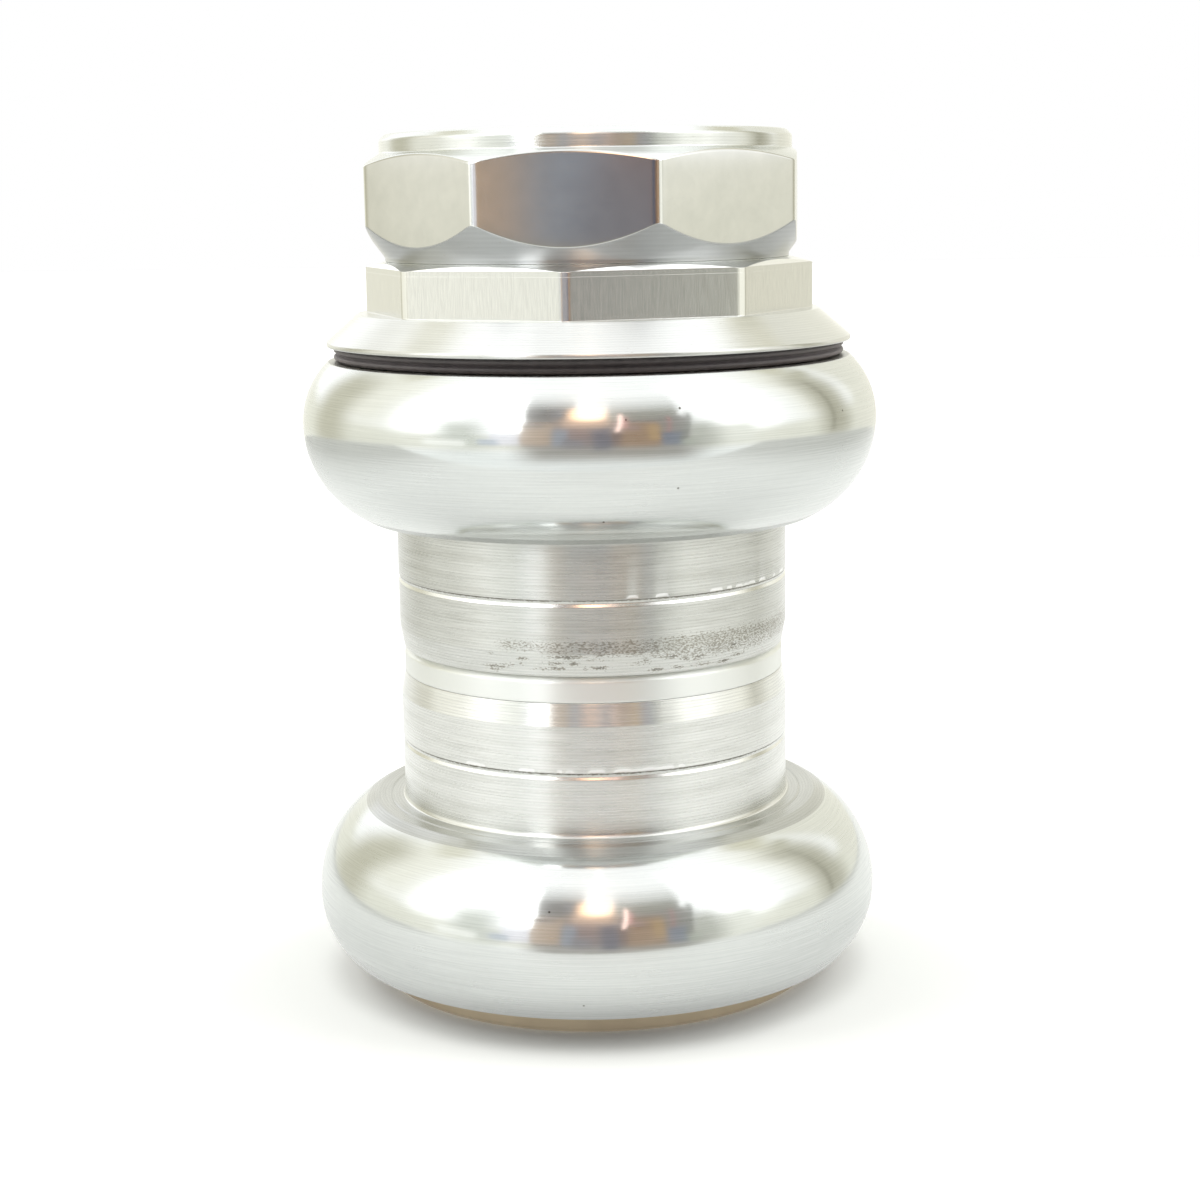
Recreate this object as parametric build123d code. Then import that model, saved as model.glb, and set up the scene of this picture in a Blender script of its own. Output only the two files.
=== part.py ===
from build123d import *
import os
from math import radians, tan

# Threaded bicycle headset for a 1 1/8 inch steerer, stacked on its crown race.
# Millimetres, +Z up along the steering axis, origin at the centre of the crown race's underside.

# Crown seat of the fork, and the steps from it to the other sizes of the same standard
crown_seat_diameter = 30.0
crown_seat_step = 0.7
quill_lip_reach = 1.4
head_tube_room = 2.7
press_interference = 0.1
nut_wall = 3.7
octagon_sides = 8

# Cups, the same above and below
bowl_height = 13.6
bowl_swell = 2.05
widest_height = 8.3
shoulder_width = 2.5
rim_wall = 1.87
rim_bevel = 0.25
rim_inner_bevel = 0.3
skirt_length = 11.35
skirt_wall = 1.55
skirt_fillet = 0.4
lead_in_length = 1.9
lead_in_depth = 0.35
groove_height = 5.25
groove_width = 0.6
groove_depth = 0.25
floor_thickness = 2.6

# Cartridge bearings, the same above and below
bearing_bore_room = 0.25
bearing_height = 8.0
bearing_floor_gap = 0.8
outer_seat_chamfer = 1.3
inner_seat_chamfer = 1.0
ring_edge_chamfer = 0.2
ball_diameter = 3.969
ball_count = 20
ring_wall = 0.8405
ring_land_drop = 0.93
ring_land_relief = 0.3
cage_width = 1.4
cage_back_thickness = 0.6
cage_finger_reach = 0.9
shield_thickness = 0.5
shield_inset = 0.15
shield_step = 0.3

# Adjusting race and its seal
flange_inset = 0.2
flange_edge = 0.35
flange_rise = 2.35
ledge_width = 0.55
race_octagon_height = 4.4
octagon_corner_stand = 1.35
race_top_land = 2.95
race_top_angle = 15.4
boss_room = 0.38
rim_gap = 1.3
seal_inset = 0.8
seal_groove_depth = 0.6
seal_ridges = 2
seal_ridge_depth = 0.3

# Races where they meet their bearing
nose_depth = 0.8
face_gap = 0.4

# Crown race and its seal
crown_flange_room = 1.23
crown_flange_height = 4.05
crown_edge_bevel = 0.3
crown_groove_height = 2.3
crown_groove_width = 1.0
crown_groove_depth = 0.8

# Keyed washer, loose between the two skirts
washer_inset = 0.35
washer_thickness = 2.25
washer_bevel = 0.5
washer_play = 0.6
key_width = 4.0
key_depth = 0.8

# Lock nut
nut_height = 10.6
nut_foot_land = 3.05
nut_foot_edge = 0.3
nut_foot_rise = 3.05
nut_crown_height = 7.95
collar_wall = 3.3
collar_height = 1.6
collar_bevel = 0.5
quill_lip_height = 2.0
thread_entry_bevel = 0.5

# Clearances
bearing_fit = 0.03
ball_play = 0.06
cone_seat_gap = 0.02
shield_play = 0.15
seal_play = 0.1
crown_seal_play = 0.25

# Steerer, stem, head tube and spanner that go with that crown seat
steerer_thread_diameter = crown_seat_diameter - 2 * crown_seat_step
quill_hole_diameter = steerer_thread_diameter - 2 * quill_lip_reach
head_tube_bore = steerer_thread_diameter + 2 * head_tube_room
spanner_size = steerer_thread_diameter + 2 * nut_wall

# Diameters of the pieces, each from what it fits or seats on
skirt_diameter = head_tube_bore + press_interference
skirt_bore = skirt_diameter - 2 * skirt_wall
shoulder_diameter = skirt_diameter + 2 * shoulder_width
washer_diameter = skirt_diameter - 2 * washer_inset
bearing_bore = crown_seat_diameter + 2 * bearing_bore_room
bearing_outer_diameter = bearing_bore + 2 * (ball_diameter + 2 * ring_wall)
cup_bore = bearing_outer_diameter + 2 * bearing_fit
rim_diameter = cup_bore + 2 * rim_wall
cup_diameter = rim_diameter + 2 * bowl_swell
flange_diameter = rim_diameter - 2 * flange_inset
seal_diameter = rim_diameter - 2 * seal_inset
boss_diameter = cup_bore - 2 * boss_room
crown_flange_diameter = cup_bore - 2 * crown_flange_room
octagon_corner_diameter = spanner_size + 2 * octagon_corner_stand
ledge_diameter = octagon_corner_diameter + 2 * ledge_width
race_top_diameter = steerer_thread_diameter + 2 * race_top_land
nut_foot_diameter = steerer_thread_diameter + 2 * nut_foot_land
collar_diameter = steerer_thread_diameter + 2 * collar_wall

# Radii that several pieces share
thread_radius = steerer_thread_diameter / 2
skirt_radius = skirt_diameter / 2
bearing_radius = bearing_outer_diameter / 2
bearing_bore_radius = bearing_bore / 2
cup_bore_radius = cup_bore / 2
ball_radius = ball_diameter / 2
pitch_radius = (bearing_radius + bearing_bore_radius) / 2
land_offset = ball_radius - ring_land_drop

# Heights of the stack, from the crown race up
bearing_lift = floor_thickness + bearing_floor_gap
rim_recess = bowl_height - bearing_lift - bearing_height
lower_bearing_face = crown_flange_height + face_gap
lower_shoulder = lower_bearing_face + bearing_height + bearing_lift
washer_base = lower_shoulder + skirt_length
upper_skirt_end = washer_base + washer_thickness
upper_shoulder = upper_skirt_end + skirt_length
upper_bearing_base = upper_shoulder + bearing_lift
upper_bearing_face = upper_bearing_base + bearing_height
flange_underside = rim_recess + rim_gap
race_ledge = flange_underside + flange_edge + flange_rise
race_height = race_ledge + race_octagon_height
nut_base = upper_bearing_face + race_height


def corner(radius, height):
    return (radius, 0, height)


def turned(*edges):
    """Solid turned about Z from the edges of a closed profile."""
    return revolve(make_face(edges), Axis.Z)


def turned_ring(*corners):
    """Solid turned about Z from the (radius, height) corners of its section."""
    return turned(Polyline(*[corner(*c) for c in corners], close=True))


def octagon(height, turn):
    """Octagonal bar with the spanner's flats, a corner facing +X when turn is 0."""
    section = RegularPolygon(spanner_size / 2, octagon_sides, major_radius=False, rotation=turn)
    return extrude(section, height)


def flipped(piece, height):
    """The piece upside down, with its zero plane at this height."""
    return Pos(0, 0, height) * Rot(180, 0, 0) * piece


def make_cup():
    """Bowl above z = 0, where it stops on the head tube, and press skirt below."""
    bore = skirt_bore / 2
    groove_low = -groove_height - groove_width / 2
    groove_high = groove_low + groove_width
    groove_floor = skirt_radius - groove_depth
    seat_top = bearing_lift + outer_seat_chamfer
    seat_foot = cup_bore_radius - (seat_top - floor_thickness)
    widest = corner(cup_diameter / 2, widest_height)
    shoulder_edge = corner(shoulder_diameter / 2, 0)
    rim_edge = corner(rim_diameter / 2, bowl_height - rim_bevel)
    skirt_side = Polyline(
        corner(bore, -skirt_length),
        corner(skirt_radius - lead_in_depth, -skirt_length),
        corner(skirt_radius, lead_in_length - skirt_length),
        corner(skirt_radius, groove_low),
        corner(groove_floor, groove_low),
        corner(groove_floor, groove_high),
        corner(skirt_radius, groove_high),
        corner(skirt_radius, -skirt_fillet),
    )
    fillet_arc = TangentArc(skirt_side @ 1, corner(skirt_radius + skirt_fillet, 0), tangent=(0, 0, 1))
    shoulder = Line(fillet_arc @ 1, shoulder_edge)
    bowl_low = TangentArc(widest, shoulder_edge, tangent=(0, 0, -1))
    bowl_high = TangentArc(widest, rim_edge, tangent=(0, 0, 1))
    inside = Polyline(
        rim_edge,
        corner(rim_diameter / 2 - rim_bevel, bowl_height),
        corner(cup_bore_radius + rim_inner_bevel, bowl_height),
        corner(cup_bore_radius, bowl_height - rim_inner_bevel),
        corner(cup_bore_radius, seat_top),
        corner(seat_foot, floor_thickness),
        corner(bore, floor_thickness),
        corner(bore, -skirt_length),
    )
    return turned(skirt_side, fillet_arc, shoulder, bowl_low, bowl_high, inside)


def make_bearing():
    """Pieces of one cartridge bearing: its floor side at z = 0, its rim side up."""
    middle = bearing_height / 2
    race_groove = Pos(0, 0, middle) * Torus(pitch_radius, ball_radius + ball_play)
    ball_places = Pos(0, 0, middle) * PolarLocations(pitch_radius, ball_count)

    land = pitch_radius + land_offset
    open_land = land + ring_land_relief
    pocket_depth = shield_inset + shield_thickness
    floor_pocket = land + shield_step
    rim_pocket = open_land + shield_step
    outer_ring = turned_ring(
        (floor_pocket, 0),
        (bearing_radius - outer_seat_chamfer, 0),
        (bearing_radius, outer_seat_chamfer),
        (bearing_radius, bearing_height - ring_edge_chamfer),
        (bearing_radius - ring_edge_chamfer, bearing_height),
        (rim_pocket, bearing_height),
        (rim_pocket, bearing_height - pocket_depth),
        (open_land, bearing_height - pocket_depth),
        (open_land, middle),
        (land, middle),
        (land, pocket_depth),
        (floor_pocket, pocket_depth),
    )

    inner_land = pitch_radius - land_offset
    inner_open_land = inner_land - ring_land_relief
    inner_ring = turned_ring(
        (bearing_bore_radius, ring_edge_chamfer),
        (bearing_bore_radius + ring_edge_chamfer, 0),
        (inner_open_land, 0),
        (inner_open_land, middle),
        (inner_land, middle),
        (inner_land, bearing_height),
        (bearing_bore_radius + inner_seat_chamfer, bearing_height),
        (bearing_bore_radius, bearing_height - inner_seat_chamfer),
    )

    balls = [place * Sphere(ball_radius) for place in ball_places]
    pockets = [place * Sphere(ball_radius + ball_play) for place in ball_places]
    cage_top = middle + ball_radius + ball_play + cage_back_thickness
    cage = turned_ring(
        (pitch_radius - cage_width / 2, middle - cage_finger_reach),
        (pitch_radius + cage_width / 2, middle - cage_finger_reach),
        (pitch_radius + cage_width / 2, cage_top),
        (pitch_radius - cage_width / 2, cage_top),
    )

    rim_shield_base = bearing_height - pocket_depth
    return {
        "outer_ring": outer_ring - race_groove,
        "inner_ring": inner_ring - race_groove,
        "balls": Part() + balls,
        "cage": cage - pockets,
        "rim_shield": make_shield(inner_land, rim_pocket, rim_shield_base),
        "floor_shield": make_shield(inner_open_land, floor_pocket, shield_inset),
    }


def make_shield(land, pocket, base):
    """Flat ring held in the outer ring's pocket, just clear of the inner ring's land."""
    inner = land + shield_play
    top = base + shield_thickness
    return turned_ring((inner, base), (pocket, base), (pocket, top), (inner, top))


def nose(bore):
    """Corners of the cone that seats in the inner ring, whose rim side face is at z = 0."""
    at_face = bearing_bore_radius + inner_seat_chamfer - cone_seat_gap
    return (
        (bore, -nose_depth),
        (at_face - nose_depth, -nose_depth),
        (at_face + face_gap, face_gap),
    )


def make_adjusting_race():
    boss = boss_diameter / 2
    groove = boss - seal_groove_depth
    top_drop = (octagon_corner_diameter - race_top_diameter) / 2 * tan(radians(race_top_angle))
    blank = turned_ring(
        *nose(thread_radius),
        (boss, face_gap),
        (boss, rim_recess - seal_play),
        (groove, rim_recess - seal_play),
        (groove, flange_underside),
        (flange_diameter / 2, flange_underside),
        (flange_diameter / 2, flange_underside + flange_edge),
        (ledge_diameter / 2, race_ledge),
        (thread_radius, race_ledge),
    )
    head = turned_ring(
        (thread_radius, race_ledge),
        (octagon_corner_diameter / 2, race_ledge),
        (octagon_corner_diameter / 2, race_height - top_drop),
        (race_top_diameter / 2, race_height),
        (thread_radius + thread_entry_bevel, race_height),
        (thread_radius, race_height - thread_entry_bevel),
    )
    bar = Pos(0, 0, race_ledge) * octagon(race_octagon_height, 0)
    return blank + (head & bar)


def make_race_seal():
    """Rubber lip seal in the race's groove, with ridges over the rim of the cup."""
    groove = boss_diameter / 2 - seal_groove_depth
    lip = seal_diameter / 2
    base = rim_recess + seal_play
    pitch = (flange_underside - base) / seal_ridges
    face = []
    for ridge in range(seal_ridges):
        foot = base + ridge * pitch
        face += [(lip - seal_ridge_depth, foot), (lip, foot + pitch / 3), (lip, foot + pitch * 2 / 3)]
    return turned_ring(
        (groove, rim_recess - seal_play),
        (boss_diameter / 2, rim_recess - seal_play),
        (boss_diameter / 2, base),
        *face,
        (lip - seal_ridge_depth, flange_underside),
        (groove, flange_underside),
    )


def make_crown_race():
    flange = crown_flange_diameter / 2
    groove = flange - crown_groove_depth
    bottom = face_gap + crown_flange_height
    groove_high = bottom - crown_groove_height
    return turned_ring(
        *nose(crown_seat_diameter / 2),
        (flange, face_gap),
        (flange, groove_high - crown_groove_width),
        (groove, groove_high - crown_groove_width),
        (groove, groove_high),
        (flange, groove_high),
        (flange, bottom - crown_edge_bevel),
        (flange - crown_edge_bevel, bottom),
        (crown_seat_diameter / 2 + crown_edge_bevel, bottom),
        (crown_seat_diameter / 2, bottom - crown_edge_bevel),
    )


def make_crown_seal():
    """Rubber ring in the crown race's groove, just clear of the cup's bore."""
    groove = crown_flange_diameter / 2 - crown_groove_depth
    lip = cup_bore_radius - crown_seal_play
    top = face_gap + crown_flange_height - crown_groove_height
    base = top - crown_groove_width
    return turned_ring((groove, base), (lip, base), (lip, top), (groove, top))


def make_lock_washer():
    """Bevelled ring with a key for the steerer's slot, on the far side."""
    outer = washer_diameter / 2
    bore = thread_radius + washer_play / 2
    ring = turned_ring(
        (bore, 0),
        (outer, 0),
        (outer, washer_thickness - washer_bevel),
        (outer - washer_bevel, washer_thickness),
        (bore, washer_thickness),
    )
    key_tip = bore - key_depth
    key_root = (bore + outer) / 2
    middle = Pos(0, (key_tip + key_root) / 2, washer_thickness / 2)
    key = middle * Box(key_width, key_root - key_tip, washer_thickness)
    return ring + key


def make_lock_nut():
    corner_radius = octagon_corner_diameter / 2
    collar = collar_diameter / 2
    collar_base = nut_height - collar_height
    lip_base = nut_height - quill_lip_height
    blank = turned_ring(
        (thread_radius + thread_entry_bevel, 0),
        (nut_foot_diameter / 2, 0),
        (nut_foot_diameter / 2, nut_foot_edge),
        (corner_radius, nut_foot_rise),
        (corner_radius, nut_crown_height),
        (collar, collar_base),
        (collar, nut_height - collar_bevel),
        (collar - collar_bevel, nut_height),
        (quill_hole_diameter / 2, nut_height),
        (quill_hole_diameter / 2, lip_base),
        (thread_radius, lip_base),
        (thread_radius, thread_entry_bevel),
    )
    return blank & octagon(nut_height, 180 / octagon_sides)


def make_parts():
    """Every piece in its place in the stack, by node name."""
    cup = make_cup()
    parts = {
        "lock_nut": Pos(0, 0, nut_base) * make_lock_nut(),
        "adjusting_race": Pos(0, 0, upper_bearing_face) * make_adjusting_race(),
        "race_seal": Pos(0, 0, upper_bearing_face) * make_race_seal(),
        "upper_cup": Pos(0, 0, upper_shoulder) * cup,
        "lock_washer": Pos(0, 0, washer_base) * make_lock_washer(),
        "lower_cup": flipped(cup, lower_shoulder),
        "crown_race": flipped(make_crown_race(), lower_bearing_face),
        "crown_seal": flipped(make_crown_seal(), lower_bearing_face),
    }
    for name, piece in make_bearing().items():
        parts["upper_" + name] = Pos(0, 0, upper_bearing_base) * piece
        parts["lower_" + name] = flipped(piece, lower_shoulder - bearing_lift)
    return parts


os.makedirs("parts", exist_ok=True)
for name, piece in make_parts().items():
    export_step(piece, f"parts/{name}.step")
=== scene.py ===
from math import pi, radians

import bpy
import numpy as np
from mathutils import Matrix, Vector


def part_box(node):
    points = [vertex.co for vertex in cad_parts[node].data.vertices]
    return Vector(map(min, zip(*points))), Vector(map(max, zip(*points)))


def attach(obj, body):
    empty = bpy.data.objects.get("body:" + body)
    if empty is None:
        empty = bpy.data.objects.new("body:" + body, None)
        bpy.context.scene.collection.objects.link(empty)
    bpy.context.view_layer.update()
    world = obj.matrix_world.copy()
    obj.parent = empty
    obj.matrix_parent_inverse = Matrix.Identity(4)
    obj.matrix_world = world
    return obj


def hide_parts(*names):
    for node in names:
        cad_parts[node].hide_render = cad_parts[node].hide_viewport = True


# Threaded bicycle headset, stacked on its crown race.
# Radii, heights and bends in the dictionaries are millimetres.

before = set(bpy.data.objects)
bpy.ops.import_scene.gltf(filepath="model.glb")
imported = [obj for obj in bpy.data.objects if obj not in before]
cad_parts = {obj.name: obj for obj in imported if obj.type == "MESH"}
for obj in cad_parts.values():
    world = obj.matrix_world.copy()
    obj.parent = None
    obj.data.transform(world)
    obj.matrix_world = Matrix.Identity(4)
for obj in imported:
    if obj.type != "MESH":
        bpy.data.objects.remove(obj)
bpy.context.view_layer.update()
mm = 0.001
print("frame loaded:", len(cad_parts), "nodes")


def linear(hexCode):
    # sRGB hex to linear: c/12.92 below 0.04045, else ((c + 0.055)/1.055)^2.4
    srgb = np.array([int(hexCode[i:i + 2], 16) / 255 for i in (0, 2, 4)])
    low = srgb / 12.92
    high = ((srgb + 0.055) / 1.055) ** 2.4
    return (*np.where(srgb <= 0.04045, low, high).tolist(), 1.0)


def addNode(tree, kind, settings=None, inputs=None):
    # one node with its settings; an input is a value, or another node's output to link
    node = tree.nodes.new(kind)
    for key, value in (settings or {}).items():
        setattr(node, key, value)
    for key, value in (inputs or {}).items():
        if isinstance(value, bpy.types.NodeSocket):
            tree.links.new(value, node.inputs[key])
        else:
            node.inputs[key].default_value = value
    return node


def newMaterial(name):
    # material that has no nodes yet
    material = bpy.data.materials.new(name)
    material.use_nodes = True
    material.node_tree.nodes.clear()
    return material, material.node_tree


def addSurface(tree, shaderInputs):
    # one Principled shader with these inputs as the material's surface
    shader = addNode(tree, "ShaderNodeBsdfPrincipled", None, shaderInputs)
    addNode(tree, "ShaderNodeOutputMaterial", None, {"Surface": shader.outputs["BSDF"]})


def newObject(name, data):
    item = bpy.data.objects.new(name, data)
    bpy.context.scene.collection.objects.link(item)
    return item


# Section and surface functions

edgeSteps = 4        # points on each rounded edge
supportGap = 0.12    # mm from a rounded edge to the row that keeps the next side flat
bendShare = 0.36     # most of a short side that a rounded edge takes
supportShare = 0.12  # most of a short side from that edge to its support row
levelLean = 0.45     # mm of height that count as much as one of radius on a level ring


def roundedSection(corners, bends):
    # corners: (angles or 1, n, 2) array of radius and height, counterclockwise; bends: n lengths
    # A corner p between unit sides a and b becomes the parabola (1-s)^2 (p+ta) + 2s(1-s) p + s^2 (p+tb),
    # with a support row before and after it; a bend of 0 keeps the corner as a single row.
    corners = np.asarray(corners, float)
    bends = np.asarray(bends, float)
    back = np.roll(corners, 1, axis=1) - corners
    ahead = np.roll(corners, -1, axis=1) - corners
    backLength = np.linalg.norm(back, axis=2, keepdims=True)
    aheadLength = np.linalg.norm(ahead, axis=2, keepdims=True)
    shortest = np.minimum(backLength, aheadLength)
    t = np.minimum(bends[None, :, None], bendShare * shortest)
    support = t + np.minimum(supportGap, supportShare * shortest)
    a = back / backLength
    b = ahead / aheadLength
    s = np.linspace(0, 1, edgeSteps)[None, None, :, None]
    p = corners[:, :, None, :]
    start = p + (t * a)[:, :, None]
    finish = p + (t * b)[:, :, None]
    curve = (1 - s) ** 2 * start + 2 * s * (1 - s) * p + s ** 2 * finish
    before = (corners + support * a)[:, :, None]
    after = (corners + support * b)[:, :, None]
    rows = np.concatenate([before, curve, after], axis=2)
    single = bends == 0
    rows[:, single] = corners[:, single][:, :, None]
    count = edgeSteps + 2
    keep = np.ones((len(bends), count), bool)
    keep[single, 1:] = False
    # a row belongs to the side that starts at its corner, or in the first half to the side before
    side = np.arange(len(bends))[:, None] - (np.arange(count) < count // 2)[None, :]
    side[single] = np.arange(len(bends))[single][:, None]
    keep = keep.ravel()
    section = rows.reshape(len(rows), -1, 2)[:, keep]
    return section, (side.ravel() % len(bends))[keep]


def turnedPiece(name, section, theta, materials, rowMaterial, base, flip=False, wearAndShade=None, level=False):
    # surface of revolution with a section that may change with the angle:
    # (r cos theta, r sin theta, base + z), closed both ways; flip turns it over about X
    section = np.broadcast_to(section, (len(theta),) + section.shape[1:])
    r = section[:, :, 0]
    z = section[:, :, 1]
    cosine = np.cos(theta)[:, None] * np.ones_like(r)
    sine = np.sin(theta)[:, None] * np.ones_like(r)
    turn = -1 if flip else 1
    points = np.stack([r * cosine, turn * r * sine, base + turn * z], axis=2) * mm
    columns, rows = r.shape
    index = np.arange(columns * rows).reshape(columns, rows)
    right = np.roll(index, -1, axis=0)
    quads = np.stack([index, right, np.roll(right, -1, axis=1), np.roll(index, -1, axis=1)], axis=2)
    mesh = bpy.data.meshes.new(name)
    mesh.from_pydata(points.reshape(-1, 3).tolist(), [], quads.reshape(-1, 4).tolist())
    mesh.polygons.foreach_set("use_smooth", np.ones(columns * rows, bool))
    faceMaterial = np.broadcast_to(rowMaterial, (columns, rows))
    mesh.polygons.foreach_set("material_index", faceMaterial.astype(np.int32).ravel())
    for material in materials:
        mesh.materials.append(material)
    # lathe: direction round the axis, and a length in millimetres that is the same all round a turned ring:
    # along the section, or z - levelLean r where the section changes with the angle
    steps = np.linalg.norm(np.diff(section, axis=1), axis=2).mean(axis=0)
    along = np.broadcast_to(np.concatenate([[0], np.cumsum(steps)]), r.shape)
    if level:
        along = z - levelLean * r
    lathe = np.stack([cosine, turn * sine, along], axis=2)
    attribute = mesh.attributes.new("lathe", "FLOAT_VECTOR", "POINT")
    attribute.data.foreach_set("vector", lathe.astype(np.float32).ravel())
    if wearAndShade is not None:
        attribute = mesh.attributes.new("wearAndShade", "FLOAT", "POINT")
        attribute.data.foreach_set("value", wearAndShade.astype(np.float32).ravel())
    mesh.update()
    piece = newObject(name, mesh)
    print(name, "built:", columns, "x", rows)
    return piece


def evenAngles(count):
    return np.arange(count) * 2 * pi / count


def octagonAngles(perFlat, firstFlat):
    # angles that crowd towards the corners: 22.5 degrees times sin(s pi/2), s from -1 to 1, on each flat
    s = (np.arange(perFlat) + 0.5) / perFlat * 2 - 1
    offset = pi / 8 * np.sin(s * pi / 2)
    return (firstFlat + np.arange(8)[:, None] * pi / 4 + offset[None, :]).ravel(), np.tile(offset, 8)


def octagonRadius(offset, crown, blend):
    # flat at (apothem - crown q^2) / cos(offset), q running from 0 in the middle to 1 at the corner,
    # cut off by the turned corner radius, with a smooth minimum between; also says where the corner is
    q = np.tan(offset) / np.tan(pi / 8)
    flat = (octagon["apothem"] - crown * q ** 2) / np.cos(offset)
    overlap = np.maximum(blend - np.abs(flat - octagon["corner"]), 0)
    radius = np.minimum(flat, octagon["corner"]) - overlap ** 2 / (4 * blend)
    return radius, flat > octagon["corner"], 1 - q ** 2


def threadRows(theta, top, bottom):
    # helical ridge inside a bore: r = root - depth/2 (1 - cos 2pi(z/pitch - theta/2pi)), faded at both ends
    pitch = thread["pitch"]
    z = np.linspace(top, bottom, int((top - bottom) / pitch * thread["rowsPerTurn"]))
    fade = np.clip(np.minimum(top - z, z - bottom) / pitch, 0, 1)
    wave = 1 - np.cos(2 * pi * z[None, :] / pitch - theta[:, None])
    r = thread["root"] - thread["depth"] / 2 * wave * fade[None, :]
    return np.stack([r, np.broadcast_to(z, r.shape)], axis=2)


def tableSection(theta, table):
    # rows of radius, height, bend and the finish's number, where radius and height may be arrays
    # over the angles; gives the rounded section and the finish of each of its rows
    ones = np.ones(len(theta))
    corners = np.stack([np.stack([ones * row[0], ones * row[1]], axis=1) for row in table], axis=1)
    section, side = roundedSection(corners, [row[2] for row in table])
    return section, np.array([row[3] for row in table])[side]


# The photograph's view, which also places the wear

view = {
    "azimuth": 5.2, "distance": 192.65, "sideways": 0.65, "height": 68.05,
    "pitch": 10.38, "roll": -0.89, "focalPixels": 2207.7, "imagePixels": 1200,
}


# Sizes that the finishes use too

cup = {
    "columns": 512,
    "bore": 15.5, "skirtEnd": 16.7, "skirt": 17.05, "grooveFloor": 16.94, "shoulderEdge": 19.55,
    "widest": 24.85, "rimEdge": 22.8, "rimFlat": 22.55, "mouth": 21.23, "seat": 20.93, "seatFoot": 18.83,
    "skirtLength": 11.35, "leadIn": 9.45, "grooveLow": 5.55, "grooveHigh": 4.95,
    "widestHeight": 8.3, "rimEdgeHeight": 13.35, "rimHeight": 13.6, "mouthDepth": 13.3,
    "seatTop": 4.7, "floor": 2.6,
    "grooveWall": 0.26, "lipNear": 0.22, "lipFar": 0.4,
    "shoulderLine": 18.3, "lineHalf": 0.14, "lineDepth": 0.1,
    "lowerArcRows": 28, "facedRows": 2, "upperArcRows": 20, "skirtRows": 14,
}

octagon = {"apothem": 18.0, "corner": 19.35, "perFlat": 56, "crown": 0.06}


# Finishes

def polishedBowlAluminium():
    # 6061 aluminium, turned and then buffed on the lathe: clear reflections under a thin haze of polishing
    # rings, so each reflection has a sharp part and a soft part that the rings draw out up and down
    material, tree = newMaterial("aluminium_turned_polished")
    lathe = addNode(tree, "ShaderNodeAttribute", {"attribute_name": "lathe"})
    ringPitch = 0.11          # mm between polishing lines, as coarse as they show
    streakLength = 7.0        # mm round the bowl
    around = cup["widest"] / streakLength
    stretched = addNode(tree, "ShaderNodeVectorMath", {"operation": "MULTIPLY"}, {
        0: lathe.outputs["Vector"], 1: (around, around, 1 / ringPitch)})
    rings = addNode(tree, "ShaderNodeTexNoise", None, {
        "Vector": stretched.outputs["Vector"], "Scale": 1.0, "Detail": 3.0})
    hazeSize = 5.0            # mm across a patch of handling haze
    coords = addNode(tree, "ShaderNodeTexCoord")
    haze = addNode(tree, "ShaderNodeTexNoise", None, {
        "Vector": coords.outputs["Object"], "Scale": 1 / (hazeSize * mm), "Detail": 3.0})
    both = addNode(tree, "ShaderNodeMath", {"operation": "ADD"}, {
        0: rings.outputs["Fac"], 1: haze.outputs["Fac"]})
    rough = addNode(tree, "ShaderNodeMapRange", None, {
        "Value": both.outputs["Value"], "From Min": 0.6, "From Max": 1.4, "To Min": 0.07, "To Max": 0.13})
    share = addNode(tree, "ShaderNodeMapRange", None, {
        "Value": both.outputs["Value"], "From Min": 0.75, "From Max": 1.25, "To Min": 0.25, "To Max": 0.34})
    bump = addNode(tree, "ShaderNodeBump", None, {
        "Height": rings.outputs["Fac"], "Strength": 0.035, "Distance": 0.02 * mm})
    tangent = addNode(tree, "ShaderNodeTangent", {"direction_type": "RADIAL", "axis": "Z"})
    # a few pits: a speck shows where the surface passes close to a cell's own point
    pitSpacing = 3.6          # mm
    pits = addNode(tree, "ShaderNodeTexVoronoi", None, {
        "Vector": coords.outputs["Object"], "Scale": 1 / (pitSpacing * mm)})
    speck = addNode(tree, "ShaderNodeMapRange", None, {
        "Value": pits.outputs["Distance"], "From Min": 0.018, "From Max": 0.034,
        "To Min": 1.0, "To Max": 0.0})
    streaks = addNode(tree, "ShaderNodeMapRange", None, {
        "Value": rings.outputs["Fac"], "From Min": 0.35, "From Max": 0.65})
    tone = addNode(tree, "ShaderNodeMix", {"data_type": "RGBA"}, {
        "Factor": streaks.outputs["Result"], 6: linear("DBDEDC"), 7: linear("E2E5E3")})
    tint = addNode(tree, "ShaderNodeMix", {"data_type": "RGBA"}, {
        "Factor": speck.outputs["Result"], 6: tone.outputs[2], 7: linear("5C5850")})
    metal = {
        "Base Color": tint.outputs[2], "Metallic": 1.0, "Anisotropic Rotation": 0.25,
        "Normal": bump.outputs["Normal"], "Tangent": tangent.outputs["Tangent"]}
    sharp = addNode(tree, "ShaderNodeBsdfPrincipled", None, {
        **metal, "Roughness": rough.outputs["Result"], "Anisotropic": 0.4})
    soft = addNode(tree, "ShaderNodeBsdfPrincipled", None, {**metal, "Roughness": 0.34, "Anisotropic": 0.8})
    blend = addNode(tree, "ShaderNodeMixShader", None, {
        0: share.outputs["Result"], 1: sharp.outputs["BSDF"], 2: soft.outputs["BSDF"]})
    addNode(tree, "ShaderNodeOutputMaterial", None, {"Surface": blend.outputs["Shader"]})
    return material


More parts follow.
